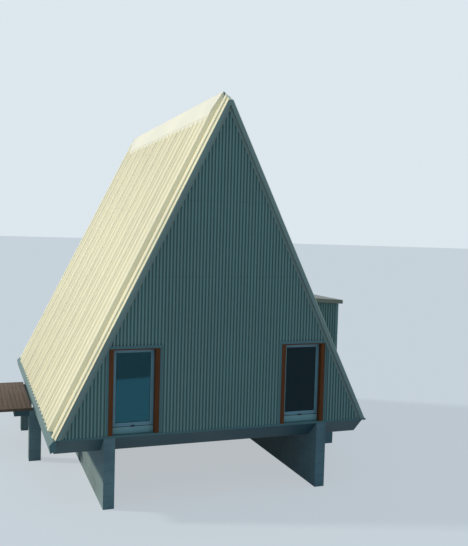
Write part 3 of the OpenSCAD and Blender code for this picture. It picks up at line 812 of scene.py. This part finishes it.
class CABIN_OT_gable_cladding(bpy.types.Operator):
    """Lapped ribbed sheets on both gables, with screws, drip strips, and dark seals and fillers that also
    paint shade
    """
    bl_idname = "cabin.gable_cladding"
    bl_label = "Gable Cladding"

    def execute(self, context):
        sizes = context.scene.cabin_sheets
        windows = context.scene.cabin_windows
        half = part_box("floor_platform")[1].x
        clear = WINDOW_W / 2 - windows.post_w
        for end, gable in GABLES:
            sheets = []
            rows = []
            rubber = []
            for number in range(4):
                sheet, row, shadow_seals = gable_course(sizes, windows, end, number)
                sheets.append(sheet)
                rows.append(row)
                rubber += shadow_seals
            for side in (-1, 1):
                fillers = on_gable(pan_fillers(sizes, side, WINDOW_W / 2 + windows.strip_w), end)
                rubber.append(trimmed(fillers, gable_cuts(), fill=True))
            drip = [on_gable(drip_bar("drip", half, section), end) for section in (DRIP_FACE, DRIP_LIP)]
            for x in WINDOW_PLACES:
                ledge = block("ledge", (-clear, 0, -windows.reveal), (clear, LEDGE_T, LEDGE_OUT))
                drip.append(on_gable(ledge, end, x))
            finished(joined(gable + "_ribbed_sheets", sheets), "wall", [gable + "_cladding"])
            finished(joined(gable + "_sheet_screws", rows), "screw")
            finished(joined(gable + "_drip_strip", drip), "flashing")
            finished(joined(gable + "_pan_fillers", rubber), "rubber")
        return {"FINISHED"}


# Roof: length of a sheet past each end of the slope before it is trimmed, and the width, height and easing of
# the dark rubber bead beside a lap, which also paints the lap's shadow line
SHEET_SPARE = 0.1
BEAD_W = 0.016
BEAD_H = 0.004
BEAD_EASED = 0.003


class CABIN_OT_roof_sheets(bpy.types.Operator):
    """Long ribbed sheets on both slopes, stiffened pans, screws on ribs, and dark lap beads painting lap
    shadows
    """
    bl_idname = "cabin.roof_sheets"
    bl_label = "Roof Sheets"

    def execute(self, context):
        sizes = context.scene.cabin_sheets
        trim_rise = (porch_trim_high.x - porch_trim_low.x) * math.tan(PORCH_FALL)
        porch = [plane("Y", porch_low.y, -1), plane("Y", porch_high.y, 1),
                 under_porch_roof(porch_trim_high.x, porch_trim_high.z - trim_rise)]
        for side, slope in SLOPES:
            low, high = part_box("roof_sheets_" + slope)
            count = round((high.y - low.y) / sizes.roof_pitch)
            bays = math.ceil(count / sizes.sheet_ribs)
            bay = sizes.sheet_ribs * sizes.roof_pitch
            edge = count * sizes.roof_pitch / 2
            sheet = ribbed_sheet("ribbed_roof_" + slope, roof_folds(sizes), RIB_TOP - PAN_RISE, bays,
                                 -SHEET_SPARE, SLOPE_LEN + SHEET_SPARE)
            shifted(sheet, (edge - bay * bays / 2, 0, RIB_TOP))
            trimmed(sheet, [plane("X", -edge, -1)])
            trimmed(on_slope(sheet, side), slope_cuts(side))
            rows = []
            for i in range(1, round(SLOPE_LEN / sizes.screw_rows)):
                place = (0, i * sizes.screw_rows, RIB_TOP)
                rows.append(on_slope(screw_row("row", count, (sizes.roof_pitch, 0, 0), place), side))
            screws = joined("roof_screws_" + slope, rows)
            lap = edge - (sizes.roof_pitch - sizes.roof_foot) / 2 + sizes.side_lap
            # Painted shadow: a dark rubber bead along each side lap
            bead = block("roof_lap_seals_" + slope, (lap, 0, PAN_RISE),
                         (lap + BEAD_W, SLOPE_LEN, PAN_RISE + BEAD_H))
            on_slope(repeated(rounded(bead, BEAD_EASED, 1), bays, (-bay, 0, 0)), side)
            trimmed(bead, slope_cuts(side), fill=True)
            if slope == "right":
                for piece in (sheet, screws, bead):
                    opened(piece, porch)
            thickened(sheet, sizes.steel_t)
            finished(sheet, "roof", ["roof_sheets_" + slope])
            finished(screws, "roof")
            finished(bead, "rubber")
        return {"FINISHED"}


# Verges: how far a length reaches into its laps, how far it lies under the next one up, and screw spacing
VERGE_LAP = 0.2
VERGE_STEP = 0.002
VERGE_SCREWS = 0.6


def verge_points(folds, turn, sunk=0.0):
    """A verge's profile at the high (turn 1) or low (turn -1) end of the flat X axis, in folding order."""
    points = [(turn * (HALF_LEN - out - sunk / 2), rise - sunk) for out, rise in folds]
    return points[::-1] if turn > 0 else points


class CABIN_OT_verges(bpy.types.Operator):
    """Verge sheets folded in lapped lengths over their faces, on both slopes at both ends, with screws"""
    bl_idname = "cabin.verges"
    bl_label = "Verges"

    def execute(self, context):
        sizes = context.scene.cabin_sheets
        laps = math.ceil(SLOPE_LEN / sizes.verge_length)
        for end, gable in GABLES:
            faces = []
            for side, slope in SLOPES:
                turn = end * side
                ends = slope_cuts(side) + [ridge_cut(end)]
                lengths = []
                for i in range(laps):
                    low = i * sizes.verge_length - VERGE_LAP
                    high = (i + 1) * sizes.verge_length + VERGE_LAP
                    profile = verge_points(VERGE_SHEET, turn, (laps - 1 - i) * VERGE_STEP)
                    lengths.append(folded_bar("length", profile, low, high))
                sheets = on_slope(joined(gable + "_verge_sheets_" + slope, lengths), side)
                trimmed(sheets, ends, fill=True)
                finished(sheets, "roof", [gable + "_verge_" + slope])
                place = (turn * (HALF_LEN - VERGE_CREST), SLOPE_LEN / 2, RIB_TOP)
                row = screw_row(gable + "_verge_screws_" + slope, math.floor(SLOPE_LEN / VERGE_SCREWS),
                                (0, VERGE_SCREWS, 0), place)
                finished(on_slope(row, side), "roof")
                profile = verge_points(VERGE_FACE, turn)
                face = folded_bar("face", profile, -VERGE_LAP, SLOPE_LEN + VERGE_LAP)
                faces.append(trimmed(on_slope(face, side), ends, fill=True))
            finished(joined(gable + "_verge_faces", faces), "face")
        return {"FINISHED"}


# Porch cladding: distance from a corner to the first pan, and width and half thickness of the corner strips
CORNER_CLEAR = 0.03
CORNER_W = 0.05
CORNER_T = 0.002


class CABIN_OT_porch_cladding(bpy.types.Operator):
    """Ribbed steel sheets on the porch's three walls, with corner strips"""
    bl_idname = "cabin.porch_cladding"
    bl_label = "Porch Cladding"

    def execute(self, context):
        sizes = context.scene.cabin_sheets
        tall = porch_high.z - FOOT_Z
        roof_low, roof_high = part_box("porch_roof")
        under_roof = under_porch_roof(roof_high.x, roof_low.z)
        slope_point, slope_normal = under_slope(PAN_RISE, 1)
        over_slope = (slope_point, -Vector(slope_normal))
        sheets = []
        for end in (-1, 1):
            count = math.ceil((porch_high.x - porch_low.x) / sizes.wall_pitch) + 1
            sheet = wall_sheet("cheek", sizes, count, 0, tall)
            on_porch_side(sheet, end, porch_high.x - CORNER_CLEAR - sizes.wall_pitch * count / 2)
            sheets.append(trimmed(sheet, [under_roof, over_slope]))
        count = math.floor((porch_high.y - porch_low.y - 2 * CORNER_CLEAR) / sizes.wall_pitch)
        sheet = wall_sheet("outer", sizes, count, 0, tall)
        opened(sheet, window_cuts(0, WINDOW_W / 2 + context.scene.cabin_windows.strip_w))
        sheets.append(trimmed(on_porch_front(sheet), [under_roof]))
        for sheet in sheets:
            thickened(sheet, sizes.steel_t)
        for end in (-1, 1):
            for inward_x, inward_y in ((CORNER_W, CORNER_T), (CORNER_T, CORNER_W)):
                corner = block("corner", (porch_high.x - inward_x, end * (porch_high.y - inward_y), FOOT_Z),
                               (porch_high.x + CORNER_T, end * (porch_high.y + CORNER_T), porch_high.z))
                sheets.append(trimmed(corner, [under_roof], fill=True))
        finished(joined("porch_ribbed_sheets", sheets), "wall", ["porch_cladding"])
        return {"FINISHED"}


# Windows: eased edges, how far the head board stands behind the posts, a ring's lap behind the next one and
# its step back, and the gasket's width
EASED = 0.003
HEAD_BACK = 0.003
RING_LAP = 0.002
RING_STEP = 0.006
GASKET_W = 0.008
# Half the drain cover's width, how far it reaches below and above the frame's foot, its thickness and easing
COVER_HALF = 0.045
COVER_BELOW = 0.018
COVER_ABOVE = 0.020
COVER_T = 0.012
COVER_EASED = 0.004
# Height and half thickness of the dark rubber seal under the frame, which paints the shadow line below it
FOOT_SHADOW_SEAL_H = 0.014
FOOT_SHADOW_SEAL_T = 0.002
# A corner strip's gap to the lining, how far its face stands out and in, its easing, and its return's width
# and depth
STRIP_GAP = 0.001
STRIP_OUT = 0.001
STRIP_IN = 0.003
STRIP_EASED = 0.0008
RETURN_W = 0.002
RETURN_IN = 0.024


def ring(name, low, high, width, front, back):
    """A mitred frame lying flat: a plane is inset, opened and given its depth."""
    clear_selection()
    bpy.ops.mesh.primitive_plane_add(size=1)
    size = (high[0] - low[0], high[1] - low[1], 1)
    piece = named(name, size, ((low[0] + high[0]) / 2, (low[1] + high[1]) / 2, back))
    with editing(piece):
        pick_all()
        bpy.ops.mesh.inset(thickness=width)
        bpy.ops.mesh.delete(type="FACE")
        pick_all()
        bpy.ops.mesh.extrude_region_move(TRANSFORM_OT_translate={"value": (0, 0, front - back)})
        pick_all()
        bpy.ops.mesh.normals_make_consistent(inside=False)
    return piece


def window_lining(sizes):
    """The two posts of the lining, with eased edges."""
    half = WINDOW_W / 2
    posts = []
    for side in (-1, 1):
        post = block("post", (side * half, 0, -sizes.wall_back),
                     (side * (half - sizes.post_w), WINDOW_H, sizes.proud))
        posts.append(rounded(post, EASED))
    return joined("posts", posts)


def window_head(sizes):
    """The head board between the posts."""
    half = WINDOW_W / 2 - sizes.post_w
    board = block("head", (-half, WINDOW_H - sizes.head_board, -sizes.wall_back),
                  (half, WINDOW_H, sizes.proud - HEAD_BACK))
    return rounded(board, EASED)


def window_frame(sizes):
    """The outer frame and the sash, each a mitred ring, the sash set back behind the frame."""
    half = WINDOW_W / 2 - sizes.post_w
    top = WINDOW_H - sizes.head_board
    rings = []
    inset = 0.0
    for width, step in ((sizes.frame_w, 0.0), (sizes.sash_w, RING_STEP)):
        piece = ring("ring", (-half + inset, sizes.sill_h + inset), (half - inset, top - inset),
                     width + RING_LAP, -sizes.reveal - step, -sizes.wall_back + step)
        rings.append(rounded(piece, EASED))
        inset += width
    return joined("frame", rings)


def window_gasket(sizes):
    """Rubber between sash and glass on both sides, the drain cover and the dark seal that paints the frame's
    shadow.
    """
    inset = sizes.frame_w + sizes.sash_w
    half = WINDOW_W / 2 - sizes.post_w
    foot = sizes.sill_h
    top = WINDOW_H - sizes.head_board
    gasket = ring("gasket", (inset - half, foot + inset), (half - inset, top - inset), GASKET_W,
                  -sizes.reveal - 2 * RING_STEP, -sizes.wall_back + 2 * RING_STEP)
    cover = block("cover", (-COVER_HALF, foot - COVER_BELOW, -sizes.reveal),
                  (COVER_HALF, foot + COVER_ABOVE, -sizes.reveal + COVER_T))
    # Painted shadow: a dark rubber strip under the frame
    seal = block("seal", (-half, foot - FOOT_SHADOW_SEAL_H, -sizes.reveal - FOOT_SHADOW_SEAL_T),
                 (half, foot, -sizes.reveal + FOOT_SHADOW_SEAL_T))
    return joined("gasket", [gasket, rounded(cover, COVER_EASED), seal])


def window_strips(sizes):
    """Folded steel strips that close the cladding beside the lining."""
    near = WINDOW_W / 2
    far = near + sizes.strip_w
    strips = []
    for side in (-1, 1):
        face = block("strip", (side * (near + STRIP_GAP), 0, -STRIP_IN), (side * far, WINDOW_H, STRIP_OUT))
        back = block("return", (side * (far - RETURN_W), 0, -RETURN_IN), (side * far, WINDOW_H, -STRIP_IN))
        strips += [rounded(face, STRIP_EASED, 1), back]
    return joined("strips", strips)


class CABIN_OT_windows(bpy.types.Operator):
    """The window units: linings, frames, gaskets and the strips beside them"""
    bl_idname = "cabin.windows"
    bl_label = "Windows"

    def execute(self, context):
        makers = (
            ("posts", window_lining, "post", "lining_timber", "window_linings"),
            ("heads", window_head, "head", "lining_timber", None),
            ("frames", window_frame, "frame", "window_frame", "window_frames"),
            ("gaskets", window_gasket, "rubber", "window_frame", None),
            ("strips", window_strips, "flashing", "wall_sheet", None),
        )
        for label, make, look, slot, node in makers:
            pattern = make(context.scene.cabin_windows)
            for end, gable in GABLES:
                pair = [on_gable(copied(pattern, label), end, x) for x in WINDOW_PLACES]
                if label == "strips":
                    pair = [trimmed(piece, gable_cuts(), fill=True) for piece in pair]
                replaced = [gable + "_" + node] if node else []
                finished(joined(gable + "_window_" + label, pair), look, replaced)
            single = on_porch_front(copied(pattern, "porch_window_" + label))
            porch_look = "porch_head" if look == "head" else look
            finished(single, porch_look, ["porch_" + node[:-1]] if node else [])
            bpy.data.objects.remove(pattern)
        return {"FINISHED"}


# Ridge: the cap's thickness, the length of its slanted corner cut down the slope, what the peak's front loses
# and how far up from the cap's edge its screws are
CAP_T = 0.006
CAP_CUT = 0.450
PEAK_CUT = 0.130
CAP_SCREWS = 0.04
# A closer's thickness, its height above the pan and how far down the slope its foot slants
CLOSER_T = 0.003
CLOSER_RISE = 0.004
CLOSER_SLANT = 0.090
# Width of the fold along the cap's corner cut, and its length below the cut and past the ridge
FOLD_W = 0.060
FOLD_SPARE = (0.01, 0.1)
# Half a saddle's width, its two ends past the cap's tip, its depth, and its height above the ribs' tops
SADDLE_HALF = 0.025
SADDLE_ENDS = (0.010, 0.080)
SADDLE_DEEP = 0.250
SADDLE_RISE = 0.004


def closer(wide, narrow, edge):
    """A flap between two ribs, wide at their crests, narrow in the pan, slanting down from the cap's edge."""
    flap = block("closers", (-wide / 2, edge, PAN_RISE + CLOSER_RISE),
                 (wide / 2, edge + CLOSER_T, RIB_TOP))
    with editing(flap):
        pick(flap, "FACE", lambda m: m.z < PAN_RISE + CLOSER_RISE + TINY)
        bpy.ops.transform.resize(value=(narrow / wide, 1, 1), center_override=(0, edge, PAN_RISE))
        bpy.ops.transform.translate(value=(0, -CLOSER_SLANT, 0))
    return flap


class CABIN_OT_ridge(bpy.types.Operator):
    """Closers and screws of the ridge cap, the folds along its corner cuts and the saddles at its tips"""
    bl_idname = "cabin.ridge"
    bl_label = "Ridge"

    def execute(self, context):
        sizes = context.scene.cabin_sheets
        pitch = sizes.roof_pitch
        edge = SLOPE_LEN - (cap_high.x - (RIB_TOP + CAP_T) * math.sin(PITCH)) / math.cos(PITCH)
        count = round(2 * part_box("roof_sheets_left")[1].y / pitch) - 1
        # The flap beside a verge reaches from the last rib to the verge's crest
        near = pitch * count / 2 + sizes.roof_crest / 2
        wide = HALF_LEN - CREST_END - near
        narrow = wide + (sizes.roof_crest - sizes.roof_foot) / 2 + CREST_END - VERGE_FOOT
        # The cap's corners are cut from its tip at the ridge to the verge's crest down the slope
        ridge_up = SLOPE_LEN + RIB_TOP * math.tan(PITCH)
        cut_low = Vector((HALF_LEN - BAND_TOP, ridge_up - CAP_CUT))
        cut_run = Vector((cap_high.y, ridge_up)) - cut_low
        for side, slope in SLOPES:
            flap = closer(pitch - sizes.roof_crest, pitch - sizes.roof_foot, edge)
            flaps = [shifted(repeated(flap, count, (pitch, 0, 0)), (-pitch * (count - 1) / 2, 0, 0))]
            for turn in (-1, 1):
                flaps.append(shifted(closer(wide, narrow, edge), (turn * (near + wide / 2), 0, 0)))
            finished(on_slope(joined("ridge_closers_" + slope, flaps), side), "cap")
            place = (0, edge + CAP_SCREWS, RIB_TOP + CAP_T)
            row = screw_row("ridge_screws_" + slope, count + 1, (pitch, 0, 0), place)
            finished(on_slope(row, side), "roof")
            folds = []
            for turn in (-1, 1):
                points = [(0, RIB_TOP), (FOLD_W * turn, CHANNEL)][::turn]
                fold = folded_strip("fold", points, -FOLD_SPARE[0], cut_run.length + FOLD_SPARE[1])
                up = Vector((turn * cut_run.x, cut_run.y, 0)).normalized()
                stood(thickened(fold, sizes.steel_t), (turn * cut_low.x, cut_low.y, 0), (up.y, -up.x, 0), up)
                folds.append(trimmed(on_slope(fold, side), slope_cuts(side)[:1], fill=True))
            finished(joined("ridge_end_folds_" + slope, folds), "roof")
        # Saddles close the verges' channels where they meet under the cap's tips
        saddles = []
        for end in (-1, 1):
            near, far = [end * (cap_high.y + past) for past in SADDLE_ENDS]
            saddle = block("saddle", (-SADDLE_HALF, near, cap_high.z - SADDLE_DEEP),
                           (SADDLE_HALF, far, cap_high.z))
            cuts = [under_slope(RIB_TOP + SADDLE_RISE, side) for side in (-1, 1)] + [ridge_cut(end)]
            saddles.append(trimmed(saddle, cuts, fill=True))
        finished(joined("ridge_saddles", saddles), "face")
        return {"FINISHED"}


# Deck boards and the gap between two
DECK_BOARDS = 8
BOARD_GAP = 0.006


class CABIN_OT_deck(bpy.types.Operator):
    """Separate deck boards along the house, with gaps"""
    bl_idname = "cabin.deck"
    bl_label = "Deck"

    def execute(self, context):
        low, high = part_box("deck_boards")
        pitch = (high.x - low.x) / DECK_BOARDS
        board = block("deck_planks", low, (low.x + pitch - BOARD_GAP, high.y, high.z))
        repeated(rounded(board, EASED), DECK_BOARDS, (pitch, 0, 0))
        finished(board, "deck", ["deck_boards"])
        return {"FINISHED"}


class CABIN_OT_plain_parts(bpy.types.Operator):
    """Finishes of the parts whose shape is already right"""
    bl_idname = "cabin.plain_parts"
    bl_label = "Plain Parts"

    def execute(self, context):
        coated("cap", "ridge_cap")
        coated("trim", "porch_roof_trim")
        coated("panel", "front_sill_panels", "rear_sill_panels", "porch_sill_panel")
        coated("flashing", "front_head_flashings", "rear_head_flashings", "porch_head_flashing",
               "eaves_gutter_left", "eaves_trim_right")
        coated("skirt", "front_skirt", "rear_skirt", "deck_beams")
        coated("concrete", "foundation_wall_left", "foundation_wall_right", "porch_piers", "deck_piers")
        coated("glass", "front_window_glass", "rear_window_glass", "porch_window_glass")
        coated("platform", "floor_platform", "porch_floor")
        coated("deck", "deck_edge_boards")
        coated("lining", "front_wall", "rear_wall", "roof_left", "roof_right", "porch_front_wall",
               "porch_outer_wall", "porch_rear_wall", "porch_roof")
        return {"FINISHED"}


# Camera, floor and light

CAMERA_PLACE = (-5.755, -21.417, 6.376)
CAMERA_YAW = math.radians(20.4815)
CAMERA_PITCH = math.radians(-3.086)
CAMERA_ROLL = math.radians(1.572)
CAMERA_LENS = 47.02
CAMERA_REACH = 2000
FLOOR_RADIUS = 600
# How much of the floor's look, where it is seen, is its own even glow
FLOOR_GLOW = 0.62
SUN_TOWARDS = (-0.83, 0.36, 0.475)
SUN_STRENGTH = 2.70
SUN_ANGLE = math.radians(5.0)
SKY_STRENGTH = 0.46


class CABIN_OT_stage(bpy.types.Operator):
    """Camera, pale floor, key light from behind the left slope and a soft sky"""
    bl_idname = "cabin.stage"
    bl_label = "Stage"

    def execute(self, context):
        context.scene.view_settings.view_transform = "Standard"
        clear_selection()
        bpy.ops.object.camera_add()
        camera = context.object
        camera.data.lens = CAMERA_LENS
        camera.data.clip_end = CAMERA_REACH
        camera.matrix_world = (Matrix.Translation(CAMERA_PLACE) @ Matrix.Rotation(-CAMERA_YAW, 4, "Z")
                               @ Matrix.Rotation(math.pi / 2 + CAMERA_PITCH, 4, "X")
                               @ Matrix.Rotation(CAMERA_ROLL, 4, "Z"))
        context.scene.camera = camera
        clear_selection()
        bpy.ops.mesh.primitive_circle_add(vertices=96, radius=FLOOR_RADIUS, fill_type="NGON")
        floor = named("floor")
        floor.data.materials.append(floor_finish())
        clear_selection()
        bpy.ops.object.light_add(type="SUN")
        sun = context.object
        sun.name = "key_light"
        sun.data.energy = SUN_STRENGTH
        sun.data.angle = SUN_ANGLE
        sun.data.color = linear("#fff4e0")
        sun.matrix_world = Vector(SUN_TOWARDS).to_track_quat("Z", "Y").to_matrix().to_4x4()
        light_world(context.scene)
        return {"FINISHED"}


def seen_directly(tree):
    """One for rays from the camera, mirrored or through glass, and zero for light that falls on things."""
    path = add_node(tree, "LightPath").outputs
    seen = path["Is Camera Ray"]
    for ray in ("Is Glossy Ray", "Is Transmission Ray"):
        seen = add_node(tree, "Math", {0: seen, 1: path[ray]}, operation="MAXIMUM").outputs[0]
    return seen


def floor_finish():
    """A pale matt floor that keeps the shadow and is lifted where it is seen."""
    material, tree, shader = new_finish("pale_floor")[:3]
    feed(tree, shader, {"Base Color": rgba(linear("#adbfcb")), "Roughness": 1.0, "Specular IOR Level": 0.0})
    glow = add_node(tree, "Emission", {"Color": rgba(linear("#e3eaef")), "Strength": 1.0})
    share = add_node(tree, "Math", {0: seen_directly(tree), 1: FLOOR_GLOW}, operation="MULTIPLY")
    mix = add_node(tree, "MixShader", {0: share.outputs[0], 1: shader.outputs[0], 2: glow.outputs[0]})
    feed(tree, tree.nodes["Material Output"], {"Surface": mix.outputs[0]})
    return material


def light_world(scene):
    """A soft cool sky, pale where it is seen."""
    world = bpy.data.worlds.new("soft_sky")
    scene.world = world
    world.use_nodes = True
    tree = world.node_tree
    fill = tree.nodes["Background"]
    feed(tree, fill, {"Color": rgba(linear("#aedfff")), "Strength": SKY_STRENGTH})
    seen = add_node(tree, "Background", {"Color": rgba(linear("#dde7ee")), "Strength": 1.0})
    mix = add_node(tree, "MixShader", {0: seen_directly(tree), 1: fill.outputs[0], 2: seen.outputs[0]})
    feed(tree, tree.nodes["World Output"], {"Surface": mix.outputs[0]})


STEPS = (CABIN_OT_stage, CABIN_OT_plain_parts, CABIN_OT_gable_cladding, CABIN_OT_roof_sheets,
         CABIN_OT_verges, CABIN_OT_porch_cladding, CABIN_OT_windows, CABIN_OT_ridge, CABIN_OT_deck)
GROUPS = (("cabin_sheets", CabinSheets), ("cabin_windows", CabinWindows), ("cabin_colours", CabinColours))


class VIEW3D_PT_cabin(bpy.types.Panel):
    """Lists the cabin's steps, sizes and colours in the sidebar"""
    bl_label = "A-frame Cabin"
    bl_idname = "VIEW3D_PT_cabin"
    bl_space_type = "VIEW_3D"
    bl_region_type = "UI"
    bl_category = "Cabin"

    def draw(self, context):
        for step in STEPS:
            self.layout.operator(step.bl_idname)
        for name, group in GROUPS:
            settings = getattr(context.scene, name)
            for key in group.__annotations__:
                self.layout.prop(settings, key)


def register():
    """Registers the sizes and colours, the operators and the panel."""
    for name, group in GROUPS:
        bpy.utils.register_class(group)
        setattr(bpy.types.Scene, name, bpy.props.PointerProperty(type=group))
    for step in STEPS + (VIEW3D_PT_cabin,):
        bpy.utils.register_class(step)


def unregister():
    """Takes them all out again."""
    for step in reversed(STEPS + (VIEW3D_PT_cabin,)):
        bpy.utils.unregister_class(step)
    for name, group in GROUPS:
        delattr(bpy.types.Scene, name)
        bpy.utils.unregister_class(group)


def main():
    """Registers the add-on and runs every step."""
    register()
    for step in STEPS:
        group, action = step.bl_idname.split(".")
        getattr(getattr(bpy.ops, group), action)()


if __name__ == "__main__":
    main()
